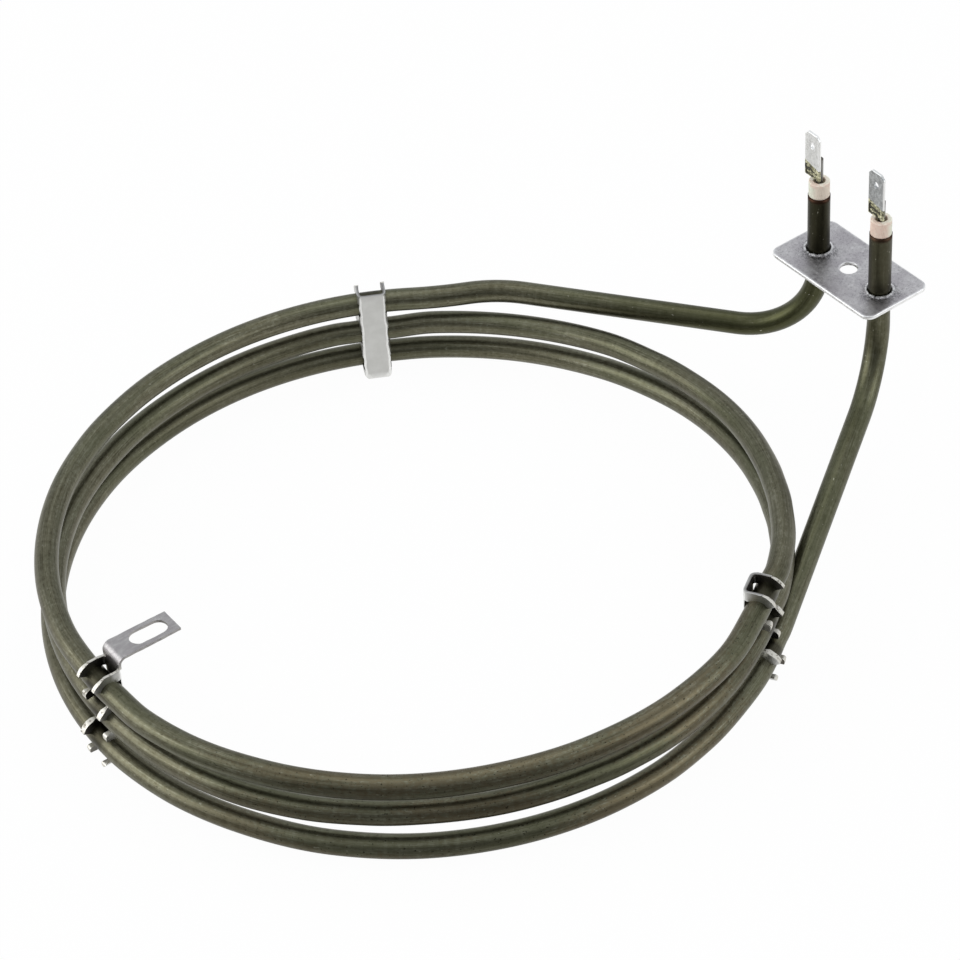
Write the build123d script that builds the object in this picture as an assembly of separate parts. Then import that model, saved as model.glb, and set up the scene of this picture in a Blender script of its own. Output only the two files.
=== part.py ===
from build123d import *
from math import acos, cos, pi, radians, sin, sqrt, tan
import os

# Round tubular heating element for the fan of an oven: one sheathed rod wound in
# three stacked turns, carried by three comb clips, with both ends turned up
# through a fixing flange to ceramic-bushed blade terminals.
#
# Frame: origin at the centre of the flange's fixing hole, in the face that seats
# on the oven wall.  +Z points out of the oven, along the terminals.  +X points
# from the ring to the flange, and the flange's long side runs along Y.
# Leg A and its terminal are on the +Y side, leg B on the -Y side.

# ------------------------------------------------------------------ dimensions
# sheathed rod
TUBE_D = 6.6            # outside of the sheath
TUBE_WALL = 0.7         # sheath wall
COLD_DEPTH = 26.0       # open length of each cold end
FIT = 0.02              # between pieces that are swaged, plugged or welded together

# ring
RING_X = -144.3         # ring axis, from the fixing hole
RING_Y = 21.7
RING_DROP = 30.2        # top turn's centreline below the wall face
TURN_RADII = (103.1, 102.85, 104.6)   # centreline radius of each turn, top first
PITCH = 10.3            # from turn to turn

# azimuths of the clips about the ring axis
CLIP_IN_AZ = 60.5       # each turn starts here
CLIP_BRACKET_AZ = 178.2
CLIP_OUT_AZ = 301.5     # each turn ends here and steps down to the next
CLIP_HOLD_AZ = 2.5      # a turn stays flat and round this far past a clip's middle

# legs
LEG_A_JOIN_AZ = 54.0    # leg A closes on the top turn here
LEG_A_RUN_AZ = 35.2     # its straight run ends here, swung out past the ring
LEG_A_RUN_R = 108.6
LEG_A_FALL = 2.4        # and falls this much to its corner
LEG_B_RISE = 21.2       # leg B's corner above the bottom turn
LEG_B_EASE = 3.0        # half of the short bend that lifts it off the turn
LEG_BEND_R = 24.0       # bend under the flange

# flange
FLANGE_L = 43.0
FLANGE_W = 24.0
FLANGE_T = 1.2
FLANGE_CORNER_R = 3.0
FLANGE_EDGE = 0.25      # broken upper edge of the blanked plate
FIX_HOLE_D = 5.4
TUBE_SPACING = 26.4
COLLAR_D = 9.4          # low collar round each tube
COLLAR_H = 0.5
COLLAR_EDGE = 0.35
COLLAR_FLARE = 0.6      # its mouth opens round the tube

# terminals, each from its sheath's end upward
STUB_A_H = 19.3         # sheath above the wall face
STUB_B_H = 20.4
BUSH_D = 6.2            # ceramic bush
BUSH_H = 5.15
BUSH_EDGE = 0.35
BUSH_BORE_D = 3.4
BUSH_NECK_D = 4.8       # its neck plugs the sheath
BUSH_NECK_H = 4.0
SEAL_DOWN = 1.3         # sealant in the bore stops this far below its mouth
PIN_D = 2.2
PIN_A_REACH = 8.0       # pin above the bush
PIN_B_REACH = 6.4
PIN_POINT = 0.5
TAB_W = 6.3             # blade terminal
TAB_T = 0.8
TAB_H = 15.3
TAB_LIFT = 1.1          # its lower edge above the bush
TAB_A_SHIFT = 1.15      # its middle from the pin, across the blade
TAB_B_SHIFT = 0.5
TAB_CORNER = 1.3
TAB_HOLE_D = 2.0
TAB_HOLE_EDGE = 0.25    # its countersink
TAB_HOLE_DOWN = 4.2     # hole below the upper edge
TAB_TURN = -2.0         # the blades stand a little askew to the flange

# comb clips
SHEET = 0.8
CLIP_W = 8.8            # outside of the U
CLIP_BEND_R = 1.6       # outer radius of the U's corners
WEB_GAP = 0.15          # between web and tubes
SLOT_GAP = 0.1          # between tube and slot
RELIEF_X = 0.6          # relief beside each slot, cut to this far from the web's face
RELIEF_H = 5.0
HOOK_T = 2.4            # a hook over a tube
HOOK_END = 28         # it stops at this angle above the tube's middle
PEG_REACH = 4.0         # tips of the straight teeth beyond the centreline of the turn above
PEG_TIP_H = 2.2
PEG_ROUND = 0.8
FOOT_H = 2.1            # clip below its lowest slot
FOOT_ROUND = 1.9

# bracket on one clip
TONGUE_W = 8.5
TONGUE_H = 9.8          # its upper face above the top turn's centreline
TONGUE_L = 19.3         # its end from the web's face
TONGUE_BEND_R = 2.6     # outer radius
TONGUE_SLOT_W = 5.5
TONGUE_SLOT_L = 11.6
TONGUE_SLOT_END = 2.0   # from the tongue's end to the slot

# --------------------------------------------------------------- derived sizes
TUBE_R = TUBE_D / 2
SLOT_R = TUBE_R + SLOT_GAP
TURN_Z = [-RING_DROP - k * PITCH for k in range(len(TURN_RADII))]
STUB_A = Vector(0, TUBE_SPACING / 2, 0)
STUB_B = Vector(0, -TUBE_SPACING / 2, 0)
UP = Vector(0, 0, 1)
TURN_START = CLIP_IN_AZ - CLIP_HOLD_AZ
TURN_END = CLIP_OUT_AZ + CLIP_HOLD_AZ
WEB_X = min(TURN_RADII) - TUBE_R - WEB_GAP - SHEET   # web's inner face, from the ring axis
CLIP_TOP = TURN_Z[0] + SLOT_R + HOOK_T
CLIP_FOOT = TURN_Z[-1] - SLOT_R - FOOT_H


def on_ring(az, radius, z):
    return Vector(RING_X + radius * cos(radians(az)), RING_Y + radius * sin(radians(az)), z)


def heading(az):
    # direction of travel along a turn, counter-clockwise from above
    return Vector(-sin(radians(az)), cos(radians(az)), 0)


def arc_pair(p0, t0, p1, t1):
    # two arcs, tangent where they meet, that leave p0 along t0 and reach p1 along t1
    v, t = p1 - p0, t0 + t1
    a, b, c = 2 * (1 - t0.dot(t1)), 2 * v.dot(t), -v.dot(v)
    d = (-b + sqrt(b * b - 4 * a * c)) / (2 * a)
    q0, q1 = p0 + t0 * d, p1 - t1 * d
    joint = (q0 + q1) * 0.5
    return [TangentArc(p0, joint, tangent=t0), TangentArc(joint, p1, tangent=q1 - q0)]


def corner_arc(corner, t0, t1, radius):
    # start, end and arc of the bend between two straight runs that meet at corner
    cut = radius * tan(acos(t0.dot(t1)) / 2)
    start, end = corner - t0 * cut, corner + t1 * cut
    return start, end, TangentArc(start, end, tangent=t0)


# ---------------------------------------------------------------- sheathed rod
def tube_route():
    edges = []
    # leg A comes down its stub, turns under the flange and closes on the top turn
    corner = STUB_A - UP * (RING_DROP + LEG_A_FALL)
    run_end = on_ring(LEG_A_RUN_AZ, LEG_A_RUN_R, TURN_Z[0])
    along = (run_end - corner).normalized()
    start, end, arc = corner_arc(corner, -UP, along, LEG_BEND_R)
    edges += [Line(STUB_A + UP * STUB_A_H, start), arc, Line(end, run_end)]
    edges += arc_pair(run_end, along, on_ring(LEG_A_JOIN_AZ, TURN_RADII[0], TURN_Z[0]), heading(LEG_A_JOIN_AZ))
    # each turn runs flat from the first clip to the last, then steps down
    for k, (radius, z) in enumerate(zip(TURN_RADII, TURN_Z)):
        first = TURN_START if k else LEG_A_JOIN_AZ
        edges.append(Pos(RING_X, RING_Y, z) * CenterArc((0, 0), radius, first, TURN_END - first))
        if k + 1 < len(TURN_RADII):
            edges += arc_pair(
                on_ring(TURN_END, radius, z), heading(TURN_END),
                on_ring(TURN_START, TURN_RADII[k + 1], TURN_Z[k + 1]), heading(TURN_START))
    # leg B lifts off the bottom turn and climbs to the bend under its stub
    leave = on_ring(TURN_END, TURN_RADII[-1], TURN_Z[-1])
    corner = STUB_B + UP * (TURN_Z[-1] + LEG_B_RISE)
    lift = leave + heading(TURN_END) * LEG_B_EASE
    along = (corner - lift).normalized()
    lift_end = lift + along * LEG_B_EASE
    start, end, arc = corner_arc(corner, along, UP, LEG_BEND_R)
    edges += arc_pair(leave, heading(TURN_END), lift_end, along)
    edges += [Line(lift_end, start), arc, Line(end, STUB_B + UP * STUB_B_H)]
    return Wire([e.edge() for e in edges])


# The heated length is drawn solid: wall, compacted oxide and coil in one.  Each
# cold end is open as far as its pin reaches.
ENDS = {"a": STUB_A + UP * STUB_A_H, "b": STUB_B + UP * STUB_B_H}


def at_end(end, turn=0.0):
    return Location(tuple(ENDS[end]), (0, 0, turn))


def ring_of(outer, inner, z0, z1):
    return Pos(0, 0, z0) * extrude(Circle(outer) - Circle(inner), z1 - z0)


route = tube_route()
rod = sweep(Plane(ENDS["a"], z_dir=-UP) * Circle(TUBE_R), path=route)
for end in ENDS:
    rod -= at_end(end) * extrude(Circle(TUBE_R - TUBE_WALL), -COLD_DEPTH)


# ------------------------------------------------------------------- terminals
def filling():
    # compacted oxide round the pin
    return ring_of(TUBE_R - TUBE_WALL - FIT, PIN_D / 2 + FIT, -COLD_DEPTH, -BUSH_NECK_H)


def bush():
    # ceramic bush: a plain head over a neck, with a through bore wider than the pin
    head = ring_of(BUSH_D / 2, BUSH_BORE_D / 2, 0, BUSH_H)
    head = chamfer(head.edges().group_by(Axis.Z)[-1], BUSH_EDGE)
    return head + ring_of(BUSH_NECK_D / 2, BUSH_BORE_D / 2, -BUSH_NECK_H, 0)


def seal():
    # sealant cast round the pin, in the bush's bore
    return ring_of(BUSH_BORE_D / 2 - FIT, PIN_D / 2 + FIT, -BUSH_NECK_H, BUSH_H - SEAL_DOWN)


def pin(reach):
    body = Pos(0, 0, -COLD_DEPTH) * extrude(Circle(PIN_D / 2), COLD_DEPTH + BUSH_H + reach)
    return chamfer(body.edges().group_by(Axis.Z)[-1], PIN_POINT)


def tab(shift):
    # blade on the ring side of the pin, drawn flat and stood up
    blade = Rectangle(TAB_W, TAB_H)
    blade = chamfer(blade.vertices().group_by(Axis.Y)[-1], TAB_CORNER)
    blade -= Pos(0, TAB_H / 2 - TAB_HOLE_DOWN) * Circle(TAB_HOLE_D / 2)
    middle = (-(PIN_D / 2 + FIT), shift, BUSH_H + TAB_LIFT + TAB_H / 2)
    blade = extrude(Plane(middle, x_dir=(0, -1, 0), z_dir=(-1, 0, 0)) * blade, TAB_T)
    rims = blade.edges().filter_by(GeomType.CIRCLE)
    return chamfer(rims, TAB_HOLE_EDGE)


# ---------------------------------------------------------------------- flange
def flange():
    plate = extrude(RectangleRounded(FLANGE_W, FLANGE_L, FLANGE_CORNER_R), -FLANGE_T)
    plate = chamfer(plate.edges().group_by(Axis.Z)[-1], FLANGE_EDGE)
    plate -= Pos(0, 0, -FLANGE_T) * extrude(Circle(FIX_HOLE_D / 2), FLANGE_T)
    for stub in (STUB_A, STUB_B):
        collar = Pos(stub) * extrude(Circle(COLLAR_D / 2), COLLAR_H)
        plate += chamfer(collar.edges().group_by(Axis.Z)[-1], COLLAR_EDGE)
    for stub in (STUB_A, STUB_B):
        mouth = Pos(0, 0, COLLAR_H - COLLAR_FLARE) * Cone(
            TUBE_R + FIT, TUBE_R + FIT + COLLAR_FLARE, COLLAR_FLARE, align=(Align.CENTER, Align.CENTER, Align.MIN))
        plate -= Pos(stub) * (Pos(0, 0, -FLANGE_T) * extrude(Circle(TUBE_R + FIT), FLANGE_T + COLLAR_H) + mouth)
    return plate


# ------------------------------------------------------------------ comb clips
# Each clip is drawn about the ring axis with X pointing outward: a U channel with
# its web inside the ring and two combed walls that reach out between the turns.
def box_xz(x0, x1, z0, z1):
    return Pos((x0 + x1) / 2, (z0 + z1) / 2) * Rectangle(x1 - x0, z1 - z0)


def hook(x, z):
    # part of a ring that starts above the tube and curls down its outer side
    arm = Circle(SLOT_R + HOOK_T) - Circle(SLOT_R)
    reach = 2 * (SLOT_R + HOOK_T)
    wedge = make_face(Polyline((0, 0), (reach * cos(radians(HOOK_END)), reach * sin(radians(HOOK_END))),
                               (reach, reach), (0, reach), close=True))
    return Pos(x, z) * (arm & wedge)


def comb(hooked):
    # wall profile in the XZ plane; hooked lists the turns that this wall hooks over
    wall_y = CLIP_W / 2 - SHEET / 2
    centres = [(sqrt(r * r - wall_y * wall_y), z) for r, z in zip(TURN_RADII, TURN_Z)]
    last = len(centres) - 1
    profile = box_xz(WEB_X, max(c[0] for c in centres), CLIP_FOOT, CLIP_TOP)
    # a straight tooth under each turn but those where the next one's hook takes its place
    for k, (x, z) in enumerate(centres):
        if k < last and k + 1 in hooked:
            continue
        root_hi = z - SLOT_R
        root_lo = centres[k + 1][1] + SLOT_R if k < last else CLIP_FOOT
        tip = TURN_RADII[k] + PEG_REACH
        mid = (root_hi + root_lo) / 2
        half = min(PEG_TIP_H, root_hi - root_lo) / 2
        tooth = make_face(Polyline((WEB_X, root_hi), (x, root_hi), (tip, mid + half), (tip, mid - half),
                                   (x, root_lo), (WEB_X, root_lo), close=True))
        tooth = fillet(tooth.vertices().group_by(Axis.X)[-1], min(PEG_ROUND, half * 0.8))
        profile += tooth
    for x, z in centres:
        far = x + 3 * TUBE_D
        profile -= Pos(x, z) * Circle(SLOT_R) + box_xz(x, far, z - SLOT_R, z + SLOT_R)
        profile -= box_xz(WEB_X + RELIEF_X, x, z - RELIEF_H / 2, z + RELIEF_H / 2)
    for k in hooked:
        profile += hook(*centres[k])
    return profile


def clip(bracket=False):
    reach = max(TURN_RADII) + 3 * TUBE_D
    width, height = CLIP_W, CLIP_TOP - CLIP_FOOT
    outer = Pos((WEB_X + reach) / 2, 0) * Rectangle(reach - WEB_X, width)
    outer = fillet(outer.vertices().group_by(Axis.X)[0], CLIP_BEND_R)
    inner = Pos((WEB_X + SHEET + reach) / 2, 0) * Rectangle(reach - WEB_X - SHEET, width - 2 * SHEET)
    inner = fillet(inner.vertices().group_by(Axis.X)[0], CLIP_BEND_R - SHEET)
    channel = Pos(0, 0, CLIP_FOOT) * extrude(outer - inner, height)
    # combed walls: the leading wall hooks the first and second turns, the trailing
    # wall the first and third
    flat = width / 2 - CLIP_BEND_R
    solid = channel & Pos((WEB_X + reach) / 2, 0, (CLIP_TOP + CLIP_FOOT) / 2) * Box(reach - WEB_X, 2 * flat, height)
    for side, hooked in ((1, (0, 1)), (-1, (0, 2))):
        start = Plane((0, side * flat, 0), x_dir=(1, 0, 0), z_dir=(0, -1, 0))
        cutter = extrude(start * comb(hooked), -side * (CLIP_BEND_R + FIT))
        solid += channel & cutter
    # rounded foot
    blank = Rectangle(width, height)
    blank = fillet(blank.vertices().group_by(Axis.Y)[0], FOOT_ROUND)
    upright = Plane((WEB_X, 0, (CLIP_TOP + CLIP_FOOT) / 2), x_dir=(0, 1, 0), z_dir=(1, 0, 0))
    solid &= extrude(upright * blank, reach - WEB_X)
    if bracket:
        # the web runs on upward and folds inward as a slotted tongue
        top = TURN_Z[0] + TONGUE_H
        end = WEB_X - TONGUE_L
        strip = box_xz(end, WEB_X + SHEET, CLIP_TOP, top)
        strip = fillet(strip.vertices().group_by(Axis.X)[-1].sort_by(Axis.Y)[-1], TONGUE_BEND_R)
        hollow = box_xz(end, WEB_X, CLIP_TOP, top - SHEET)
        hollow = fillet(hollow.vertices().group_by(Axis.X)[-1].sort_by(Axis.Y)[-1], TONGUE_BEND_R - SHEET)
        side_on = Plane((0, TONGUE_W / 2, 0), x_dir=(1, 0, 0), z_dir=(0, -1, 0))
        tongue = extrude(side_on * (strip - hollow), TONGUE_W)
        middle = end + TONGUE_SLOT_END + TONGUE_SLOT_L / 2
        slot = Pos(middle, 0, top - SHEET) * extrude(SlotOverall(TONGUE_SLOT_L, TONGUE_SLOT_W), SHEET)
        solid += tongue - slot
    return solid


def at_clip(az):
    return Location((RING_X, RING_Y, 0), (0, 0, az))


# ------------------------------------------------------------------- write out
pieces = {
    "sheath": rod,
    "flange": flange(),
    "clip_in": at_clip(CLIP_IN_AZ) * clip(),
    "clip_bracket": at_clip(CLIP_BRACKET_AZ) * clip(bracket=True),
    "clip_out": at_clip(CLIP_OUT_AZ) * clip(),
}
for end, reach, shift in (("a", PIN_A_REACH, TAB_A_SHIFT), ("b", PIN_B_REACH, TAB_B_SHIFT)):
    pieces["filling_" + end] = at_end(end) * filling()
    pieces["seal_" + end] = at_end(end) * seal()
    pieces["bush_" + end] = at_end(end) * bush()
    pieces["pin_" + end] = at_end(end) * pin(reach)
    pieces["tab_" + end] = at_end(end, TAB_TURN) * tab(shift)

os.makedirs("parts", exist_ok=True)
for name, piece in pieces.items():
    export_step(piece, f"parts/{name}.step")
print("rod length", round(route.length, 1), "cold ends", COLD_DEPTH)
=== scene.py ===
from math import acos, atan2, ceil, cos, degrees, pi, radians, sin, sqrt, tan

import bmesh
import bpy
from mathutils import Matrix, Vector, noise
from mathutils.geometry import delaunay_2d_cdt


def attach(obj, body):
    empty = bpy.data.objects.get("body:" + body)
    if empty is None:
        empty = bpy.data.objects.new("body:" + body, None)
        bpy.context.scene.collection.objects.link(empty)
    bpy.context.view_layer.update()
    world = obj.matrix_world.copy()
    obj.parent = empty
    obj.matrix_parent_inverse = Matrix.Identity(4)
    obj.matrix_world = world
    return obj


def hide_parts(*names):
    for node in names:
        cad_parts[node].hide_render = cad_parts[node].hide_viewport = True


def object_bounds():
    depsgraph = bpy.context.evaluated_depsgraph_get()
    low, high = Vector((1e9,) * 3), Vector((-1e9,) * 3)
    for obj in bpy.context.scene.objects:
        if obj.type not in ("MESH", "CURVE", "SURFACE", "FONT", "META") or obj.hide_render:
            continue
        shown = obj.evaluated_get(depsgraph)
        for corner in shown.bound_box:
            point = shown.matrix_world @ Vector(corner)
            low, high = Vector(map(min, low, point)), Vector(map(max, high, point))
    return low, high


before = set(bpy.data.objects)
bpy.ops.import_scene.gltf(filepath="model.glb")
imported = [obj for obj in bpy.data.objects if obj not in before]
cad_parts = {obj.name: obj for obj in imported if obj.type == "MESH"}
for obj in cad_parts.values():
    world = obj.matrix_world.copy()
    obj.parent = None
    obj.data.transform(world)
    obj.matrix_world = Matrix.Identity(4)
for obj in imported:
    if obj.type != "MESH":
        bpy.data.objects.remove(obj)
cad_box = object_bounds()
MM = 0.001


# ---------------------------------------------------------------- sheathed rod
# One stainless tube, packed with oxide round a coil and annealed to an olive skin.
# It is wound in three turns that have sprung a little between the clips; its two
# ends swing out past the ring, turn up under the flange and end open.
TUBE_D = 6.6 * MM
TUBE_WALL = 0.7 * MM
COLD_DEPTH = 26.0 * MM
RING_X = -144.3 * MM
RING_Y = 21.7 * MM
RING_DROP = 30.2 * MM
TURN_RADII = (103.1 * MM, 102.85 * MM, 104.6 * MM)
PITCH = 10.3 * MM
CLIP_IN_AZ = 60.5
CLIP_BRACKET_AZ = 178.2
CLIP_OUT_AZ = 301.5
CLIP_HOLD_AZ = 2.5
LEG_A_JOIN_AZ = 54.0
LEG_A_RUN_AZ = 35.2
LEG_A_RUN_R = 108.6 * MM
LEG_A_FALL = 2.4 * MM
LEG_B_RISE = 21.2 * MM
LEG_B_EASE = 3.0 * MM
LEG_BEND_R = 24.0 * MM
TUBE_SPACING = 26.4 * MM
STUB_A_H = 19.3 * MM
STUB_B_H = 20.4 * MM
ROUTE_STEP = 1.0 * MM       # spacing of the points worked out along the route
TUBE_STEP = 1.6 * MM        # spacing of the tube's rings
TUBE_SIDES = 44
LIP = 0.12 * MM             # rounding of the cut ends
SCALE = 0.13 * MM           # the oxide skin thickens the heated length
SCALE_DEPTHS = (8.0, 16.0)  # it starts and is full at these millimetres below the flange
# bearings in degrees, and how far each turn has sprung out there in millimetres
SPRING = (
    ((64, 0), (90, 0), (108, 0.2), (120, 0.5), (132, 0.8), (152, 0.9), (163, 0.7), (175, 0),
     (181.5, 0), (189, 0.7), (197, 0.65), (211, 0.2), (226, 0.08), (246, -0.15), (261, 0.2), (276, 0.75),
     (288, 1.0), (298, 0)),
    ((63.5, 0), (67, 0.4), (78, 0), (99, -0.45), (112, -0.2), (132, 0.3), (150, 0.4), (175, 0),
     (181.5, 0), (191, 0.2), (206, 0.5), (216, 0.25), (226, -0.25), (236, -0.55), (248, -0.3), (258, -0.25),
     (266, 0.2), (275, 0.6), (285, 0.6), (298, 0)),
    ((64, 0), (100, 0.1), (114, 0.35), (138, 0.3), (160, 0.1), (175, 0),
     (181.5, 0), (191, -0.2), (206, -0.45), (221, 0.05), (236, 0.35), (258, 0.5), (271, 0.4), (281, 0),
     (290, -0.3), (298, 0)))
# the same for the strands that climb from one turn to the next, and how far they rise
CLIMB = (
    ((304, 0), (309, 1.1), (315, 1.2), (324, 0.6), (331, 0.15), (338, -0.1), (359, -0.15), (369, 0.3),
     (379, 0.7), (411, 0.7), (418, 0)),
    ((304, 0), (311, 0.9), (319, 1.1), (325, 0.8), (331, 0.35), (340, 0), (352, -0.3), (370, -0.25),
     (380, 0), (400, 0.3), (411, 0.3), (418, 0)))
CLIMB_LIFT = (((369, 0), (380, 0.45), (409, 0.45), (418, 0)), ((304, 0), (418, 0)))
ON_TURN = (0.5 * MM, 0.2 * MM)      # a point this near a turn, outwards and upwards, is on it
ON_CLIMB = 3.0 * MM
LEVEL = 1e-6

TUBE_R = TUBE_D / 2
UP = Vector((0, 0, 1))
STUB_A = Vector((0, TUBE_SPACING / 2, 0))
STUB_B = Vector((0, -TUBE_SPACING / 2, 0))
TURN_Z = [-RING_DROP - k * PITCH for k in range(len(TURN_RADII))]
TURN_START = CLIP_IN_AZ - CLIP_HOLD_AZ
TURN_END = CLIP_OUT_AZ + CLIP_HOLD_AZ


def ease(low, high, value):
    """0 up to low, 1 from high, smooth between."""
    t = min(1.0, max(0.0, (value - low) / (high - low)))
    return t * t * (3 - 2 * t)


def on_ring(az, radius, z):
    return Vector((RING_X + radius * cos(radians(az)), RING_Y + radius * sin(radians(az)), z))


def outward(az):
    return Vector((cos(radians(az)), sin(radians(az)), 0))


def heading(az):
    return Vector((-sin(radians(az)), cos(radians(az)), 0))


def arc_to(points, tangent, end):
    """Adds the arc that leaves the last point along tangent and reaches end; returns its last tangent."""
    start = points[-1]
    chord = end - start
    turn = 2 * tangent.angle(chord)
    if turn < 1e-5:
        points.append(end)
        return tangent
    radius = chord.length / 2 / sin(turn / 2)
    inward = (chord - tangent * chord.dot(tangent)).normalized()
    count = max(3, ceil(radius * turn / ROUTE_STEP))
    for k in range(1, count + 1):
        a = turn * k / count
        points.append(start + tangent * (radius * sin(a)) + inward * (radius * (1 - cos(a))))
    return tangent * cos(turn) + inward * sin(turn)


def arc_pair_to(points, t0, end, t1):
    """Adds two arcs, tangent where they meet, that reach end along t1."""
    v, t = end - points[-1], t0 + t1
    a, b, c = 2 * (1 - t0.dot(t1)), 2 * v.dot(t), -v.dot(v)
    d = (-b + sqrt(b * b - 4 * a * c)) / (2 * a)
    q0, q1 = points[-1] + t0 * d, end - t1 * d
    middle_tangent = arc_to(points, t0, (q0 + q1) / 2)
    arc_to(points, middle_tangent, end)


def corner_to(points, corner, t0, t1):
    """Adds the straight run and the bend that round a corner between two directions."""
    cut = LEG_BEND_R * tan(acos(t0.dot(t1)) / 2)
    points.append(corner - t0 * cut)
    arc_to(points, t0, corner + t1 * cut)


def tube_route():
    points = [STUB_A + UP * STUB_A_H]
    corner = STUB_A - UP * (RING_DROP + LEG_A_FALL)
    run_end = on_ring(LEG_A_RUN_AZ, LEG_A_RUN_R, TURN_Z[0])
    along = (run_end - corner).normalized()
    corner_to(points, corner, -UP, along)
    points.append(run_end)
    arc_pair_to(points, along, on_ring(LEG_A_JOIN_AZ, TURN_RADII[0], TURN_Z[0]), heading(LEG_A_JOIN_AZ))
    for k, (radius, z) in enumerate(zip(TURN_RADII, TURN_Z)):
        arc_to(points, heading(TURN_START if k else LEG_A_JOIN_AZ), on_ring(TURN_END, radius, z))
        if k + 1 < len(TURN_RADII):
            arc_pair_to(points, heading(TURN_END),
                        on_ring(TURN_START, TURN_RADII[k + 1], TURN_Z[k + 1]), heading(TURN_START))
    corner = STUB_B + UP * (TURN_Z[-1] + LEG_B_RISE)
    lift = points[-1] + heading(TURN_END) * LEG_B_EASE
    along = (corner - lift).normalized()
    arc_pair_to(points, heading(TURN_END), lift + along * LEG_B_EASE, along)
    corner_to(points, corner, along, UP)
    points.append(STUB_B + UP * STUB_B_H)
    return points


def spring(stops, az):
    """How far the rod has moved at a bearing, in metres."""
    for (a0, out0), (a1, out1) in zip(stops, stops[1:]):
        if a0 <= az < a1:
            return (out0 + (out1 - out0) * ease(a0, a1, az)) * MM
    return 0.0


def sprung(points):
    """Springs the turns, and the strands that climb between them, a little out of round."""
    for point in points:
        out = Vector((point.x - RING_X, point.y - RING_Y, 0))
        az = degrees(atan2(out.y, out.x)) % 360
        for turn, (radius, z) in enumerate(zip(TURN_RADII, TURN_Z)):
            aside = abs(out.length - radius)
            level = CLIP_IN_AZ < az < CLIP_OUT_AZ and abs(point.z - z) < ON_TURN[1]
            if level and aside < ON_TURN[0]:
                point += out.normalized() * spring(SPRING[turn], az)
            late = az if az > CLIP_OUT_AZ else az + 360
            climbing = late < CLIP_IN_AZ + 360 and z - PITCH + LEVEL < point.z < z - LEVEL
            if climbing and turn < len(CLIMB) and aside < ON_CLIMB:
                point += out.normalized() * spring(CLIMB[turn], late)
                point.z += spring(CLIMB_LIFT[turn], late)
    return points


def placed(name, data):
    """A new object of some data, in the scene."""
    piece = bpy.data.objects.new(name, data)
    bpy.context.scene.collection.objects.link(piece)
    return piece


def poly_curve(name, points):
    data = bpy.data.curves.new(name, "CURVE")
    data.dimensions = "3D"
    spline = data.splines.new("POLY")
    spline.points.add(len(points) - 1)
    for point, co in zip(spline.points, points):
        point.co = (*co, 1)
    return placed(name, data)


class Tree:
    """A geometry or material node tree with one method for its nodes and named group inputs."""

    def __init__(self, tree, owner=None):
        self.tree, self.owner = tree, owner

    def node(self, kind, settings=None, values=None):
        """Adds a node, its settings first, then the values or links of its sockets."""
        made = self.tree.nodes.new(kind)
        for key, value in (settings or {}).items():
            setattr(made, key, value)
        for key, value in (values or {}).items():
            self.feed(made.inputs[key], value)
        return made

    def feed(self, socket, value):
        """Gives a socket a link or a value."""
        value = value.socket if isinstance(value, Flow) else value
        if isinstance(value, bpy.types.NodeSocket):
            self.tree.links.new(value, socket)
        else:
            socket.default_value = value

    def get(self, kind, settings=None, values=None, out=0):
        """The same, giving one of the node's outputs to work on."""
        return Flow(self, self.node(kind, settings, values).outputs[out])


class Flow:
    """What comes out of a socket; arithmetic on it adds Math nodes."""

    def __init__(self, tree, socket):
        self.tree, self.socket = tree, socket

    def math(self, operation, *others):
        return math_node(self.tree, operation, self, *others)

    def __add__(self, other):
        return self.math("ADD", other)

    def __sub__(self, other):
        return self.math("SUBTRACT", other)

    def __rsub__(self, other):
        return math_node(self.tree, "SUBTRACT", other, self)

    def __mul__(self, other):
        return self.math("MULTIPLY", other)

    __radd__, __rmul__ = __add__, __mul__

    def above(self, low, high):
        """0 below low, 1 above high, smooth between."""
        values = {"Value": self, "From Min": low, "From Max": high}
        return self.tree.get("ShaderNodeMapRange", {"interpolation_type": "SMOOTHSTEP"}, values)

    def below(self, low, high):
        return 1 - self.above(low, high)


def math_node(tree, operation, *values):
    return tree.get("ShaderNodeMath", {"operation": operation}, dict(enumerate(values)))


def vector_node(tree, operation, first, second, out="Vector"):
    return tree.get("ShaderNodeVectorMath", {"operation": operation}, {0: first, 1: second}, out)


def shape_tree(name, inputs):
    """A geometry node tree with named inputs; returns it, its input sockets and its group output."""
    group = bpy.data.node_groups.new(name, "GeometryNodeTree")
    group.interface.new_socket("Geometry", in_out="INPUT", socket_type="NodeSocketGeometry")
    for key, kind in inputs.items():
        group.interface.new_socket(key, in_out="INPUT", socket_type=kind)
    group.interface.new_socket("Geometry", in_out="OUTPUT", socket_type="NodeSocketGeometry")
    tree = Tree(group)
    source = tree.node("NodeGroupInput")
    return tree, {s.name: s for s in source.outputs if s.name}, tree.node("NodeGroupOutput")


def run_tree(piece, tree, values, name):
    """Runs a geometry tree on a piece with the given input values and keeps the result as a plain mesh."""
    modifier = piece.modifiers.new("shape", "NODES")
    modifier.node_group = tree.tree
    for item in tree.tree.interface.items_tree:
        if item.in_out == "INPUT" and item.name in values:
            modifier[item.identifier] = values[item.name]
    piece.update_tag()
    bpy.context.view_layer.update()
    depsgraph = bpy.context.evaluated_depsgraph_get()
    mesh = bpy.data.meshes.new_from_object(
        piece.evaluated_get(depsgraph), preserve_all_data_layers=True, depsgraph=depsgraph)
    bpy.data.objects.remove(piece)
    return placed(name, mesh)


def new_material(name):
    """The empty node tree of a new material, with the material as its owner."""
    material = bpy.data.materials.new(name)
    material.use_nodes = True
    material.node_tree.nodes.clear()
    return Tree(material.node_tree, material)


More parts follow.
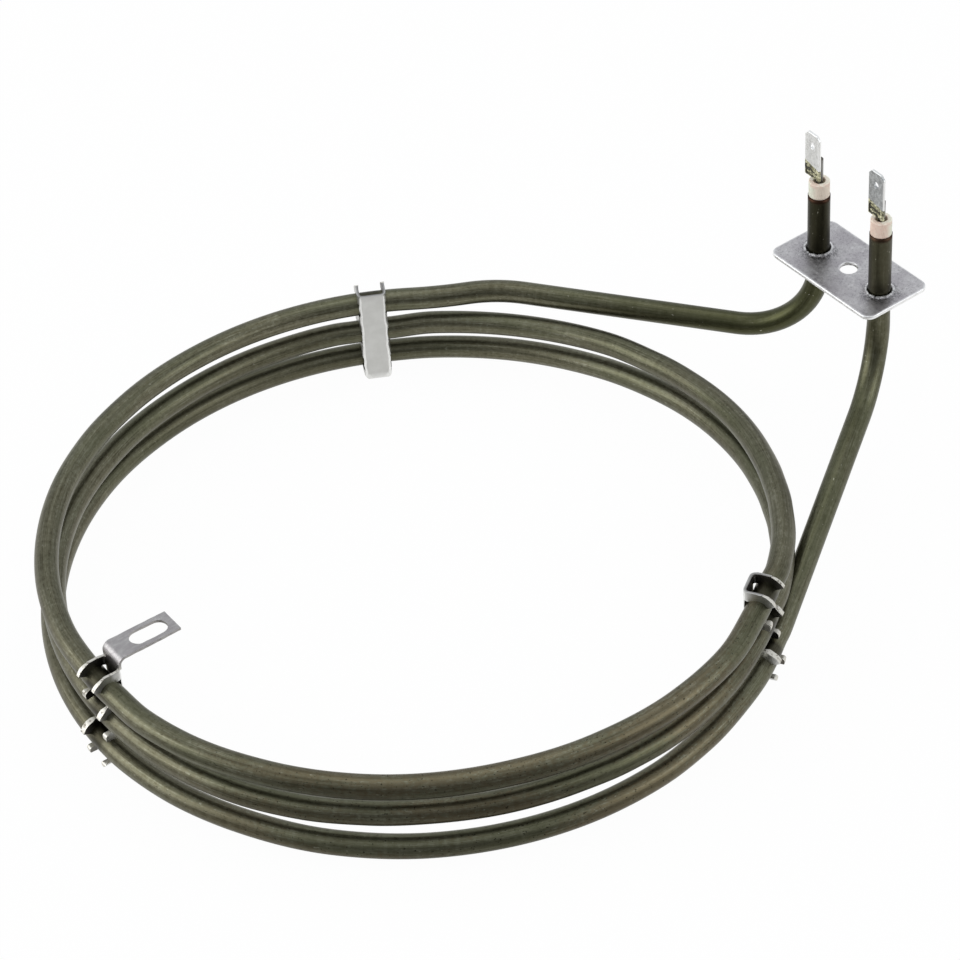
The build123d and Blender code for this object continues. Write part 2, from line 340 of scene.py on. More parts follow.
def surface(tree, colour, metallic, roughness, height=None, depth=0.0):
    """Ends a material in a Principled shader and gives it; height feeds a bump of that depth."""
    values = {"Base Color": colour, "Metallic": metallic, "Roughness": roughness}
    if height is not None:
        bump = {"Height": height, "Distance": depth, "Strength": 1.0}
        values["Normal"] = tree.get("ShaderNodeBump", values=bump)
    shader = tree.node("ShaderNodeBsdfPrincipled", values=values)
    tree.node("ShaderNodeOutputMaterial", values={"Surface": shader.outputs[0]})
    return tree.owner


def blend(tree, share, first, second):
    """A colour between two, by a share from 0 to 1."""
    mix = tree.node("ShaderNodeMix", {"data_type": "RGBA"})
    # a Mix node has a set of sockets for each data type; 6, 7 and output 2 are those of colours
    for socket, value in ((0, share), (6, first), (7, second)):
        tree.feed(mix.inputs[socket], (*value, 1) if isinstance(value, tuple) else value)
    return Flow(tree, mix.outputs[2])


def coated(tree, colour, *coats):
    """A colour under coats, each one a share from 0 to 1 and the colour that it brings."""
    for share, coat in coats:
        colour = blend(tree, share, colour, coat)
    return colour


def grain(tree, place, stretch, detail=2.0, roughness=0.55):
    """Noise on a place in metres; its scale per millimetre is one number or one for each axis."""
    stretch = (stretch,) * 3 if isinstance(stretch, float) else stretch
    scaled = vector_node(tree, "MULTIPLY", place, tuple(s / MM for s in stretch))
    return tree.get("ShaderNodeTexNoise", values={
        "Vector": scaled, "Scale": 1.0, "Detail": detail, "Roughness": roughness})


def mark(tree, name, out="Fac"):
    """What the mesh carries under a name: a share from 0 to 1, unless it says otherwise."""
    return tree.get("ShaderNodeAttribute", {"attribute_name": name}, out=out)


def new_marks(mesh, *names):
    """Adds these to a bmesh's vertices, to be set for each one."""
    for name in names:
        mesh.verts.layers.float.new(name)
    return [mesh.verts.layers.float[name] for name in names]


OLIVE_DARK = (0.060, 0.058, 0.036)
OLIVE = (0.122, 0.119, 0.080)
OLIVE_PALE = (0.222, 0.217, 0.160)
GREEN_TINT = (0.100, 0.105, 0.058)
BROWN_TINT = (0.130, 0.104, 0.062)
LEG_GREEN = (0.046, 0.050, 0.018)
# the dark soot of the stubs' ends, also used for the painted shade under the clips
SOOT_AND_SHADE = (0.026, 0.023, 0.015)
SOOT_OLIVE = (0.052, 0.048, 0.030)
SCRATCH = (0.45, 0.44, 0.36)
PIT = (0.020, 0.018, 0.012)
TINT_BROWN = (0.050, 0.016, 0.011)
STUB_END = 24.0 * MM        # the stubs are sooty this far from the cut ends
SOOT_FADE = 6.0 * MM
WARM_END = 150.0 * MM       # and the legs have a greener skin up to here
LIP_TINT = (0.4 * MM, 1.9 * MM)
LAST_END = (1.0, 1.001)     # metres along the rod where its second end begins to count
SKIN_DEPTH = 0.022 * MM
BURNER_AZ = 252.0           # the turns are browner on the side that lay nearest the burner
BURNER_REACH = (0.45, 0.95)
DARKER_BACK_AZ = (40, 60, 95, 115)        # the lower turns are darker between these bearings
CLIP_SHADE_REACH = (2.6, 3.9)           # millimetres beside a clip's middle where the painted shade of its walls starts to fade and ends
RING_BAND = (6 * MM, 5 * MM)        # the marks stay this near the ring, outwards and upwards


def rod_material():
    tree = new_material("annealed_sheath")
    lay = mark(tree, "lay", "Vector")
    along = tree.get("ShaderNodeSeparateXYZ", values={0: lay}, out="Z")
    clip_shade, burner, darker_back = (mark(tree, name) for name in ("clip_shade", "burner", "darker_back"))
    cloud = grain(tree, lay, (0.14, 0.14, 0.028), 3.0)
    streak = grain(tree, lay, (0.80, 0.80, 0.030), 3.0)
    skin = grain(tree, lay, (1.5, 1.5, 0.65), 4.0, 0.68)
    lines = grain(tree, lay, (3.2, 3.2, 0.045), 3.0)
    bands = grain(tree, lay, (0.12, 0.12, 0.70), 3.0)
    hue = grain(tree, lay, (0.09, 0.09, 0.020), 2.0)
    speck = grain(tree, lay, (1.5, 1.5, 0.75), 1.0)
    pit = grain(tree, lay, (1.9, 1.9, 1.3), 1.0)
    end = mark(tree, "from_end")
    last = along.above(*LAST_END)
    tone = cloud * 0.16 + streak * 0.18 + skin * 0.26 + lines * 0.28 + bands * 0.12
    sooty = blend(tree, last, SOOT_AND_SHADE, SOOT_OLIVE)
    colour = coated(
        tree, OLIVE_DARK,
        (tone.above(0.40, 0.51), OLIVE),
        (tone.above(0.50, 0.62), OLIVE_PALE),
        ((hue * 0.7 + streak * 0.3).above(0.48, 0.62) * 0.40, GREEN_TINT),
        ((hue * 0.6 + skin * 0.4).below(0.44, 0.56) * (0.15 + burner * 0.45), BROWN_TINT),
        (pit.below(0.27, 0.34) * (0.45 + burner * 0.4), PIT),
        (end.below(WARM_END * 0.35, WARM_END) * (0.7 - last * 0.45), LEG_GREEN),
        (end.below(STUB_END, STUB_END + SOOT_FADE) * (0.95 - skin * 0.35), sooty),
        (speck.above(0.735, 0.77) * (0.25 + end.below(STUB_END, WARM_END) * 0.5), SCRATCH),
        (end.below(*LIP_TINT) * 0.65, TINT_BROWN),
        # the lower turns are darker at the back
        (darker_back * 0.5, OLIVE_DARK),
        # painted shade where the clips' walls keep the light off the rod
        (clip_shade * 0.75, SOOT_AND_SHADE))
    rough = 0.26 + skin * 0.18 + cloud * 0.10
    return surface(tree, colour, 1.0, rough, lines * 0.45 + skin * 0.55, SKIN_DEPTH)


def add_to_model(piece, nodes):
    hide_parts(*nodes)
    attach(piece, "root")


def rod_tree():
    """The tube's section carried along the route, with each point's place round and along it."""
    shape, given, output = shape_tree("wound_rod", {
        "Radius": "NodeSocketFloat", "Step": "NodeSocketFloat", "Sides": "NodeSocketInt"})
    path = shape.get("GeometryNodeResampleCurve", {"mode": "LENGTH"},
                     {"Curve": given["Geometry"], "Length": given["Step"]})
    length = shape.get("GeometryNodeSplineParameter", out="Length")
    path = shape.get("GeometryNodeStoreNamedAttribute", {"data_type": "FLOAT", "domain": "POINT"},
                     {"Geometry": path, "Name": "along", "Value": length})
    circle = shape.get("GeometryNodeCurvePrimitiveCircle",
                       values={"Resolution": given["Sides"], "Radius": given["Radius"]})
    spoke = shape.get("GeometryNodeInputPosition")
    circle = shape.get("GeometryNodeStoreNamedAttribute", {"data_type": "FLOAT_VECTOR", "domain": "POINT"},
                       {"Geometry": circle, "Name": "lay", "Value": spoke})
    tube = shape.get("GeometryNodeCurveToMesh", values={"Curve": path, "Profile Curve": circle})
    real = shape.get("GeometryNodeRealizeInstances", values={"Geometry": tube})
    painted = shape.get("GeometryNodeSetMaterial", values={"Geometry": real, "Material": rod_material()})
    shape.feed(output.inputs[0], painted)
    return shape


def skin_rod(mesh):
    """Thickens the heated length by its skin and marks where the colour changes and where shade is painted.
    """
    darker_back, clip_shade, burner, from_end = new_marks(mesh, "darker_back", "clip_shade", "burner", "from_end")
    lay, along = mesh.verts.layers.float_vector["lay"], mesh.verts.layers.float["along"]
    length = max(v[along] for v in mesh.verts)
    facing = outward(BURNER_AZ)
    for v in mesh.verts:
        v[lay] = Vector((v[lay].x, v[lay].y, v[along]))
        v[from_end] = min(v[along], length - v[along])
        v.co += v.normal * (SCALE * ease(*SCALE_DEPTHS, -v.co.z / MM))
        out = Vector((v.co.x - RING_X, v.co.y - RING_Y, 0))
        if out.length > TURN_RADII[0] + RING_BAND[0] or v.co.z > TURN_Z[0] + RING_BAND[1]:
            continue
        # painted shade on the rod between each clip's walls
        for az in (CLIP_IN_AZ, CLIP_BRACKET_AZ, CLIP_OUT_AZ):
            if out.dot(outward(az)) > 0:
                v[clip_shade] = max(v[clip_shade], 1 - ease(*CLIP_SHADE_REACH, out.cross(outward(az)).length / MM))
        az = degrees(atan2(out.y, out.x)) % 360
        lower = ease(TURN_Z[0] - 2 * MM, TURN_Z[2] + 2 * MM, v.co.z)
        v[darker_back] = lower * ease(*DARKER_BACK_AZ[:2], az) * (1 - ease(*DARKER_BACK_AZ[2:], az))
        v[burner] = ease(*BURNER_REACH, out.normalized().dot(facing))


def rod():
    points = sprung(tube_route())
    tube = run_tree(poly_curve("route", points), rod_tree(),
                    {"Radius": TUBE_R, "Step": TUBE_STEP, "Sides": TUBE_SIDES}, "rod")
    mesh = bmesh.new()
    mesh.from_mesh(tube.data)
    skin_rod(mesh)
    # each end gets a rounded lip and its bore
    for end in (points[0], points[-1]):
        ring = [e for e in mesh.edges if e.is_boundary and (e.verts[0].co - end).length < 1.2 * TUBE_R]
        inner = TUBE_R - TUBE_WALL
        for radius, down in ((TUBE_R - LIP, -LIP), (inner + LIP, -LIP), (inner, 0), (inner, COLD_DEPTH)):
            made = bmesh.ops.extrude_edge_only(mesh, edges=ring)["geom"]
            ring = [e for e in made if isinstance(e, bmesh.types.BMEdge) and e.is_boundary]
            for v in {v for e in ring for v in e.verts}:
                out = Vector((v.co.x - end.x, v.co.y - end.y, 0)).normalized()
                v.co = Vector((end.x, end.y, end.z - down - LIP)) + out * radius
        bmesh.ops.contextual_create(mesh, geom=ring)
    bmesh.ops.recalc_face_normals(mesh, faces=mesh.faces)
    for f in mesh.faces:
        f.smooth = len(f.verts) == 4
    mesh.to_mesh(tube.data)
    mesh.free()
    return tube


add_to_model(rod(), ["sheath"])


# --------------------------------------------------------------- oxide filling
# Grey magnesium oxide, poured in as powder and packed hard when the tube was drawn
# down.  It fills each cold end from the coil up to the bush's neck.
OXIDE = (0.46, 0.44, 0.39)
OXIDE_DARK = (0.30, 0.28, 0.24)
OXIDE_PIT_DEPTH = 0.05 * MM


def here(tree):
    """The place on a piece, in metres."""
    return tree.get("ShaderNodeTexCoord", out="Object")


def oxide_material():
    tree = new_material("packed_oxide")
    powder = grain(tree, here(tree), 4.0, 3.0)
    colour = blend(tree, powder.above(0.35, 0.62), OXIDE_DARK, OXIDE)
    return surface(tree, colour, 0.0, 0.85, powder, OXIDE_PIT_DEPTH)


def dress(nodes, material):
    """Gives the CAD nodes that stay a material of their own."""
    for name in nodes:
        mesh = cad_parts[name].data
        mesh.materials.clear()
        mesh.materials.append(material)


dress(("filling_a", "filling_b"), oxide_material())


# ------------------------------------------------------------------------ pins
# Nickel-plated steel wire, cut with a point and dulled by the heat of the weld.
# Each one leads down through its bush to the end of the coil.
PIN_D = 2.2 * MM
PIN_GREY = (0.30, 0.295, 0.28)
PIN_TARNISH = (0.10, 0.092, 0.075)
PIN_SCRATCH_DEPTH = 0.01 * MM


def pin_material():
    tree = new_material("tarnished_pin")
    place = here(tree)
    drawn = grain(tree, place, (4.0, 4.0, 0.12), 2.0)
    stain = grain(tree, place, (0.8, 0.8, 0.35), 3.0)
    colour = coated(tree, PIN_TARNISH, (stain.above(0.38, 0.62), PIN_GREY),
                    (drawn.above(0.60, 0.72) * 0.5, PIN_TARNISH))
    return surface(tree, colour, 1.0, 0.32 + stain * 0.2, drawn, PIN_SCRATCH_DEPTH)


dress(("pin_a", "pin_b"), pin_material())


# ---------------------------------------------------------------------- bushes
# A pale fired ceramic bush closes each end of the tube: a short head on the rim
# and a neck inside it.  Pressed and fired unglazed, so its rim is a little chipped.
BUSH_D = 6.2 * MM
BUSH_H = 5.15 * MM
BUSH_EDGE = 0.35 * MM
BUSH_BORE_D = 3.4 * MM
BUSH_NECK_D = 4.8 * MM
BUSH_NECK_H = 4.0 * MM
BUSH_FOOT = 0.1 * MM        # chamfer of the head's lower edge
# the mouth of its bore: millimetres outwards from the bore and upwards from the top
BUSH_MOUTH = ((0.45, 0), (0.2, 0), (0.06, -0.06), (0, -0.25))
BUSH_SIDES = 128
BUSH_RINGS = 9
BUSH_WARP = 0.045 * MM
BUSH_CHIP = 0.16 * MM
BUSH_CHIPPED_H = 1.2 * MM   # the rim is chipped down to here
BUSH_GRAIN_DEPTH = 0.05 * MM
BISQUE = (0.78, 0.67, 0.55)
BISQUE_GREEN_HIGHLIGHT = (0.76, 0.78, 0.64)
BISQUE_PINK = (0.80, 0.60, 0.49)
BISQUE_PALE = (0.88, 0.85, 0.72)
FLUX_BROWN = (0.23, 0.105, 0.055)
BORE_SHADE = (0.50, 0.43, 0.30)
TINT_ACROSS = (0.82, -0.57, 0)      # a bush's two tints meet across this direction; the green one is a painted highlight
ENDS = {"a": STUB_A + UP * STUB_A_H, "b": STUB_B + UP * STUB_B_H}


def uneven(place, per_mm, seed=(0, 0, 0)):
    """Noise from -1 to 1 at a place in metres."""
    return noise.noise(Vector(place) * (per_mm / MM) + Vector(seed))


def lathe(mesh, profile, sides, middle):
    """Turns a closed profile of (radius, height) points round the upright line through middle."""
    rings = []
    for radius, height in profile:
        rings.append([mesh.verts.new(middle + Vector((radius * cos(2 * pi * k / sides),
                                                      radius * sin(2 * pi * k / sides), height)))
                      for k in range(sides)])
    for low, high in zip(rings, rings[1:] + rings[:1]):
        for k in range(sides):
            n = (k + 1) % sides
            mesh.faces.new((low[k], low[n], high[n], high[k]))


def finish_mesh(name, mesh, material):
    """Makes the object of a finished bmesh, with its faces outwards."""
    bmesh.ops.recalc_face_normals(mesh, faces=mesh.faces)
    for f in mesh.faces:
        f.smooth = True
    data = bpy.data.meshes.new(name)
    mesh.to_mesh(data)
    mesh.free()
    data.materials.append(material)
    return placed(name, data)


def bush_material(end, side_tint, face_tint, split):
    """side_tint colours one side and face_tint the other; they meet across split.  The green tint is a
    painted highlight.
    """
    tree = new_material("ceramic_bush_" + end)
    place = vector_node(tree, "SUBTRACT", here(tree), tuple(ENDS[end]))
    x, y, z = (tree.get("ShaderNodeSeparateXYZ", values={0: place}, out=axis) for axis in "XYZ")
    across = vector_node(tree, "DOT_PRODUCT", place, TINT_ACROSS, "Value")
    wall = (x * x + y * y).math("SQRT") - BUSH_BORE_D / 2
    stain = grain(tree, place, (0.35, 0.35, 0.30), 3.0)
    mottle = grain(tree, place, 1.6, 3.0)
    crack = grain(tree, place, (1.1, 1.1, 0.10), 4.0)
    rim = z.above(BUSH_H - 0.5 * MM, BUSH_H - 0.1 * MM)
    smear = stain.above(0.42, 0.54) * z.above(BUSH_H - 1.6 * MM, BUSH_H - 0.6 * MM)
    fine = (crack - 0.5).math("ABSOLUTE").below(0.0, 0.012)
    edge = wall.below(0.05 * MM, 0.40 * MM) * z.above(BUSH_H - 0.8 * MM, BUSH_H)
    # the mouth of the bore, where shade is painted
    bore = wall.below(0.0, 0.08 * MM) * z.below(BUSH_H - 0.7 * MM, BUSH_H - 0.2 * MM)
    colour = coated(
        tree, side_tint,
        (across.above(*split), face_tint),
        (mottle.above(0.42, 0.68) * 0.5, BISQUE),
        (rim * 0.75, BISQUE_PALE),
        (smear * 0.75, BISQUE_PINK),
        (fine * 0.35, FLUX_BROWN),
        (edge * stain.above(0.42, 0.55) * 0.7, FLUX_BROWN),
        (z.below(0.0, 0.35 * MM) * 0.5, BISQUE_PINK),
        # painted shade in the mouth of the bore
        (bore * 0.7, BORE_SHADE))
    return surface(tree, colour, 0.0, 0.62 + mottle * 0.25, mottle * 0.7 + crack * 0.3, BUSH_GRAIN_DEPTH)


def bush(end, side_tint, face_tint, split):
    mesh = bmesh.new()
    head, bore, neck = BUSH_D / 2, BUSH_BORE_D / 2, BUSH_NECK_D / 2
    profile = [(neck, -BUSH_NECK_H), (neck, 0.0), (head - BUSH_FOOT, 0.0), (head, BUSH_FOOT)]
    profile += [(head, BUSH_FOOT + (BUSH_H - BUSH_EDGE - BUSH_FOOT) * k / BUSH_RINGS)
                for k in range(1, BUSH_RINGS + 1)]
    profile += [(head - BUSH_EDGE * (1 - cos(radians(a))), BUSH_H - BUSH_EDGE * (1 - sin(radians(a))))
                for a in (22, 45, 68, 90)]
    profile += [(bore + out * MM, BUSH_H + up * MM) for out, up in BUSH_MOUTH]
    profile += [(bore, 1.0 * MM), (bore, -BUSH_NECK_H)]
    lathe(mesh, profile, BUSH_SIDES, ENDS[end])
    for v in mesh.verts:
        place = v.co - ENDS[end]
        out = Vector((place.x, place.y, 0))
        if place.z < 0.05 * MM or out.length < bore + 0.01 * MM:
            continue
        warp = uneven(place, 0.45, (0, 0, ord(end)))
        v.co += out.normalized() * min(warp, 0.6) * BUSH_WARP
        if place.z > BUSH_H - BUSH_CHIPPED_H:
            chip = uneven(place, 0.9, (7, ord(end), 0))
            share = (place.z - BUSH_H + BUSH_CHIPPED_H) / BUSH_CHIPPED_H
            v.co.z -= max(0.0, chip + 0.15) * BUSH_CHIP * share
    return finish_mesh("ceramic_bush_" + end, mesh, bush_material(end, side_tint, face_tint, split))


# the green tint paints a highlight on one side of each bush
for end, tints in (("a", (BISQUE_GREEN_HIGHLIGHT, BISQUE, (-2.8 * MM, -0.8 * MM))),
                   ("b", (BISQUE_PINK, BISQUE_GREEN_HIGHLIGHT, (0.8 * MM, 2.8 * MM)))):
    add_to_model(bush(end, *tints), ["bush_" + end])


# --------------------------------------------------------------------- sealant
# Silicone cast into the bush's bore round the pin keeps damp out of the oxide.
# It has baked to a mottled tan and lies a little below the rim.
SEAL_BROWN = (0.40, 0.36, 0.22)
SEAL_LIGHT = (0.78, 0.74, 0.54)
SEAL_DIMPLE_DEPTH = 0.04 * MM


def seal_material():
    tree = new_material("baked_sealant")
    lump = grain(tree, here(tree), 1.4, 3.0)
    colour = blend(tree, lump.above(0.45, 0.70), SEAL_BROWN, SEAL_LIGHT)
    return surface(tree, colour, 0.0, 0.45 + lump * 0.2, lump, SEAL_DIMPLE_DEPTH)


dress(("seal_a", "seal_b"), seal_material())


# ---------------------------------------------------------------------- blades
# Plated steel blades, punched with a latching hole and chamfered at the tip.  Two
# projection welds hold each one to its pin; they leave two sooty dents in its face.
TAB_W = 6.3 * MM
TAB_T = 0.8 * MM
TAB_H = 15.3 * MM
TAB_LIFT = 1.1 * MM
TAB_SHIFT = {"a": 1.15 * MM, "b": 0.5 * MM}
TAB_CORNER = 1.3 * MM
TAB_HOLE_D = 2.0 * MM
TAB_HOLE_DOWN = 4.2 * MM
TAB_TURN = -2.0
TAB_EDGE = 0.14 * MM
TAB_GRID = 0.17 * MM
GAP = 0.02 * MM
WELD_MIDDLE = -0.45 * MM        # across the blade
WELD_HEIGHTS = (1.25 * MM, 3.05 * MM)
WELD_SIZE = (4.8 * MM, 1.45 * MM)
WELD_DEPTH = 0.26 * MM
WELD_CORNER = 0.6 * MM
WELD_SAG = 0.30             # slope of the dents past the pin
WELD_RIM = 0.03 * MM
WELD_EDGE = (-0.35, 0.05)   # millimetres over which a dent ends
WELD_CREST = (0.12, 0.46)   # and over which its rim falls off
SCORCH_TOP = (4.0, 4.6)     # millimetres up the blade where the scorch fades
SCORCH_SLOPE = 0.22
TAB_STEP = 0.35 * MM        # spacing of the points round the outline
TAB_HOLE_STEP = 0.26 * MM
TAB_GRAIN_DEPTH = 0.03 * MM
# lit and shaded copies of one plating: blade a's is painted with a bright reflection, blade b's with a dark
# one
PLATING_LIT_AND_SHADED = {"a": (0.90, 0.90, 0.88), "b": (0.40, 0.41, 0.41)}
BRIGHTEST = 0.92
WELD_CREAM = (0.72, 0.69, 0.46)
WELD_SOOT = (0.028, 0.026, 0.012)
WELD_OLIVE = (0.27, 0.25, 0.12)


def box_distance(x, y, width, height, corner):
    """Distance from a rounded rectangle's edge, negative inside."""
    dx, dy = abs(x) - width / 2 + corner, abs(y) - height / 2 + corner
    return sqrt(max(dx, 0) ** 2 + max(dy, 0) ** 2) + min(max(dx, dy), 0) - corner


def ring_points(x, y, radius, count, start=0.0):
    angles = [start + 2 * pi * k / count for k in range(count)]
    return [Vector((x + radius * cos(a), y + radius * sin(a))) for a in angles]


def inset(loop, by):
    """Moves a counter-clockwise loop inwards."""
    moved = []
    for k, point in enumerate(loop):
        before, after = (point - loop[k - 1]).normalized(), (loop[(k + 1) % len(loop)] - point).normalized()
        n0, n1 = Vector((-before.y, before.x)), Vector((-after.y, after.x))
        middle = (n0 + n1).normalized()
        moved.append(point + middle * (by / max(0.5, middle.dot(n0))))
    return moved


def divided(corners, step):
    """The points of a closed outline, spaced evenly along each side."""
    loop = []
    for k, start in enumerate(corners):
        end = corners[(k + 1) % len(corners)]
        count = max(1, round((end - start).length / step))
        loop += [start.lerp(end, i / count) for i in range(count)]
    return loop


def plate_mesh(outline, holes, step, edge, faces, grid):
    """A plate between two faces; its outline and holes, (x, y, radius), have rounded edges.
    faces gives the heights of the upper and lower face at a point; grid is the spacing inside."""
    rims = [(x, y, r, max(24, round(2 * pi * r / step))) for x, y, r in holes]
    middles = [(Vector((x, y)), r) for x, y, r in holes]
    loops = [outline] + [ring_points(*rim) for rim in rims]
    points, edges = [], []
    for loop in loops:
        start = len(points)
        points += loop
        edges += [(start + k, start + (k + 1) % len(loop)) for k in range(len(loop))]
    extra = []
    for share in (0.3, 1.0):
        extra += inset(outline, edge * share)
        for x, y, r, count in rims:
            extra += ring_points(x, y, r + edge * share, count)
    clear = edge + grid * 0.55
    deep = inset(outline, clear)
    low = (min(p.x for p in outline), min(p.y for p in outline))
    high = (max(p.x for p in outline), max(p.y for p in outline))
    for i in range(ceil((high[0] - low[0]) / grid)):
        for j in range(ceil((high[1] - low[1]) / grid)):
            point = Vector((low[0] + (i + 0.5 + 0.25 * (j % 2)) * grid, low[1] + (j + 0.5) * grid))
            inside = all((deep[(k + 1) % len(deep)] - p).cross(point - p) > 0 for k, p in enumerate(deep))
            if inside and all((point - middle).length > r + clear for middle, r in middles):
                extra.append(point)
    flat, _, triangles, *_ = delaunay_2d_cdt(points + extra, edges, [], 1, 1e-9)
    keep = []
    for t in triangles:
        centre = (flat[t[0]] + flat[t[1]] + flat[t[2]]) / 3
        if all((centre - middle).length > r * 0.98 for middle, r in middles):
            keep.append(t)

    def depth_at(p):
        """How far the rounding lowers the face at a point."""
        near = min((middle - p).length - r for middle, r in middles)
        reach = (12 * step) ** 2
        for k, a in enumerate(outline):
            b = outline[(k + 1) % len(outline)]
            if (a - p).length_squared > reach and (b - p).length_squared > reach:
                continue
            side = b - a
            t = min(1.0, max(0.0, (p - a).dot(side) / side.length_squared))
            near = min(near, (a + side * t - p).length)
        near = min(max(near, 0.0), edge)
        return edge - sqrt(edge * edge - (edge - near) ** 2)

    mesh = bmesh.new()
    upper, lower = [], []
    for p in flat:
        fall = depth_at(p)
        high_z, low_z = faces(p.x, p.y)
        upper.append(mesh.verts.new((p.x, p.y, high_z - fall)))
        lower.append(mesh.verts.new((p.x, p.y, low_z + fall)))
    rim = {}
    for a, b, c in keep:
        mesh.faces.new((upper[a], upper[b], upper[c]))
        mesh.faces.new((lower[c], lower[b], lower[a]))
        for pair in ((a, b), (b, c), (c, a)):
            rim[pair] = rim.get(pair, 0) + 1
    for a, b in rim:
        if (b, a) not in rim:
            mesh.faces.new((upper[b], upper[a], lower[a], lower[b]))
    loose = [v for v in mesh.verts if not v.link_faces]
    bmesh.ops.delete(mesh, geom=loose, context="VERTS")
    return mesh


def blade_material(end):
    tree = new_material("plated_blade_" + end)
    place = here(tree)
    soot, scorch, hole, sides = (mark(tree, name) for name in ("soot", "scorch", "hole", "sides"))
    rolled = grain(tree, place, (0.9, 0.9, 0.05), 2.0)
    fleck = grain(tree, place, 2.2, 2.0)
    patch = grain(tree, place, 0.9, 3.0)
    mottle = patch * 0.5 + fleck * 0.5
    crumple = grain(tree, place, (0.55, 0.55, 0.80), 3.0, 0.6)
    burnt = (scorch + patch * 0.5 - 0.25).above(0.30, 0.60)
    burn = coated(tree, WELD_CREAM, (patch.above(0.44, 0.58) * 0.75, WELD_OLIVE),
                  ((crumple - 0.5).math("ABSOLUTE").below(0.012, 0.05) * 0.9, WELD_SOOT))

    def plate(share):
        return tuple(min(BRIGHTEST, share * c) for c in PLATING_LIT_AND_SHADED[end])

    colour = coated(
        tree, plate(0.86),
        (rolled.above(0.35, 0.65), plate(1.0)),
        (mottle.above(0.45, 0.60) * 0.5, plate(1.7)),
        (mottle.below(0.40, 0.48) * 0.45, plate(0.62)),
        # painted highlight on the blades' thin sides and top edges
        (sides * 0.8, PLATING_LIT_AND_SHADED["a"]),
        (fleck.below(0.28, 0.36) * hole * 0.7, plate(0.35)),
        (burnt, burn),
        ((soot * 0.80 + patch * 0.5 - 0.25).above(0.18, 0.40) * 0.9, WELD_OLIVE),
        ((soot + patch * 0.7 - 0.35).above(0.34, 0.52), WELD_SOOT))
    rough = 0.30 + fleck * 0.15 + scorch * 0.15
    return surface(tree, colour, 1 - burnt * 0.7, rough, fleck * 0.5 + patch * scorch * 0.5, TAB_GRAIN_DEPTH)


def blade(end):
    half = TAB_W / 2
    corners = [Vector(c) for c in (
        (-half, 0), (half, 0), (half, TAB_H - TAB_CORNER), (half - TAB_CORNER, TAB_H),
        (TAB_CORNER - half, TAB_H), (-half, TAB_H - TAB_CORNER))]

    def weld(x, y):
        """Depth of the dents at a point, from 0 to 1, and how near it is to their rims."""
        inside, rim = 0.0, 0.0
        for k, height in enumerate(WELD_HEIGHTS):
            wave = uneven((x, y, 0.0), 0.6, (0, 0, ord(end) + k))
            fine = uneven((x, y, 5.0), 1.5, (0, 0, ord(end) + k))
            sag = WELD_SAG * (x - WELD_MIDDLE) * ease(0.0, 2.5, (x - WELD_MIDDLE) / MM)
            far = box_distance(x - WELD_MIDDLE, y - height + sag, *WELD_SIZE, WELD_CORNER) / MM
            far += 0.55 * wave + 0.25 * fine
            inside = max(inside, 1 - ease(*WELD_EDGE, far))
            rim = max(rim, 1 - ease(*WELD_CREST, abs(far - sum(WELD_EDGE) / 2)))
        return inside, rim

    def faces(x, y):
        inside, rim = weld(x, y)
        return TAB_T - inside * WELD_DEPTH + rim * WELD_RIM, 0.0

    hole_y = TAB_H - TAB_HOLE_DOWN
    mesh = plate_mesh(divided(corners, TAB_STEP), [(0.0, hole_y, TAB_HOLE_D / 2)], TAB_HOLE_STEP,
                      TAB_EDGE, faces, TAB_GRID)
    soot, scorch, hole, sides = new_marks(mesh, "soot", "scorch", "hole", "sides")
    turn = radians(TAB_TURN)
    back = -(PIN_D / 2 + GAP)
    for v in mesh.verts:
        x, y, z = v.co
        inside, rim = weld(x, y)
        front = ease(0.3 * TAB_T, 0.6 * TAB_T, z)
        lean = uneven((x, y, 3.0), 0.5)
        v[soot] = front * rim * (0.62 + 0.38 * ease(0.5, -2.2, (x - WELD_MIDDLE) / MM) + 0.2 * lean)
        v[scorch] = (1 - ease(*SCORCH_TOP, y / MM + 0.6 * lean + SCORCH_SLOPE * x / MM)) * (0.6 + 0.4 * front)
        # where the highlight is painted on the thin sides and the top edge
        v[sides] = max(ease(-0.12, 0.0, (abs(x) - half) / MM), ease(-0.12, 0.0, (y - TAB_H) / MM))
        v[hole] = 1 - ease(0.0, 1.6, abs(sqrt(x * x + (y - hole_y) ** 2) - TAB_HOLE_D / 2) / MM)
        place = Vector((back - z, TAB_SHIFT[end] - x, BUSH_H + TAB_LIFT + y))
        v.co = Matrix.Rotation(turn, 3, "Z") @ place + ENDS[end]
    return finish_mesh("blade_" + end, mesh, blade_material(end))


for end in "ab":
    add_to_model(blade(end), ["tab_" + end])


# ---------------------------------------------------------------------- flange
# A zinc-plated steel plate closes the oven wall's opening and takes one screw.  The
# stubs pass through two holes whose rims are staked round them.
FLANGE_L = 43.0 * MM
FLANGE_W = 24.0 * MM
FLANGE_T = 1.2 * MM
FLANGE_CORNER_R = 3.0 * MM
FLANGE_EDGE = 0.25 * MM
FLANGE_GRID = 0.5 * MM
FIX_HOLE_D = 5.4 * MM
FIX_HOLE_BURR = 0.16 * MM
COLLAR_D = 9.4 * MM
COLLAR_H = 0.5 * MM
COLLAR_FLARE = 0.6 * MM
COLLAR_WAVE = 0.12 * MM
PLATE_WAVE = 0.05 * MM
FLANGE_STEP = 0.6 * MM      # spacing of the points round the outline
FLANGE_HOLE_STEP = 0.42 * MM
FLANGE_TOP = -0.2 * MM      # what lies above this belongs to the upper face
FLANGE_GRAIN_DEPTH = 0.03 * MM
STAIN_SHADE_AZ = 235.055          # bearing of the side of each stub where the plate has stain and painted shade
STAIN_SHADE_REACH = (4.0, 8.5)    # millimetres from the stub where that stain and shade fade
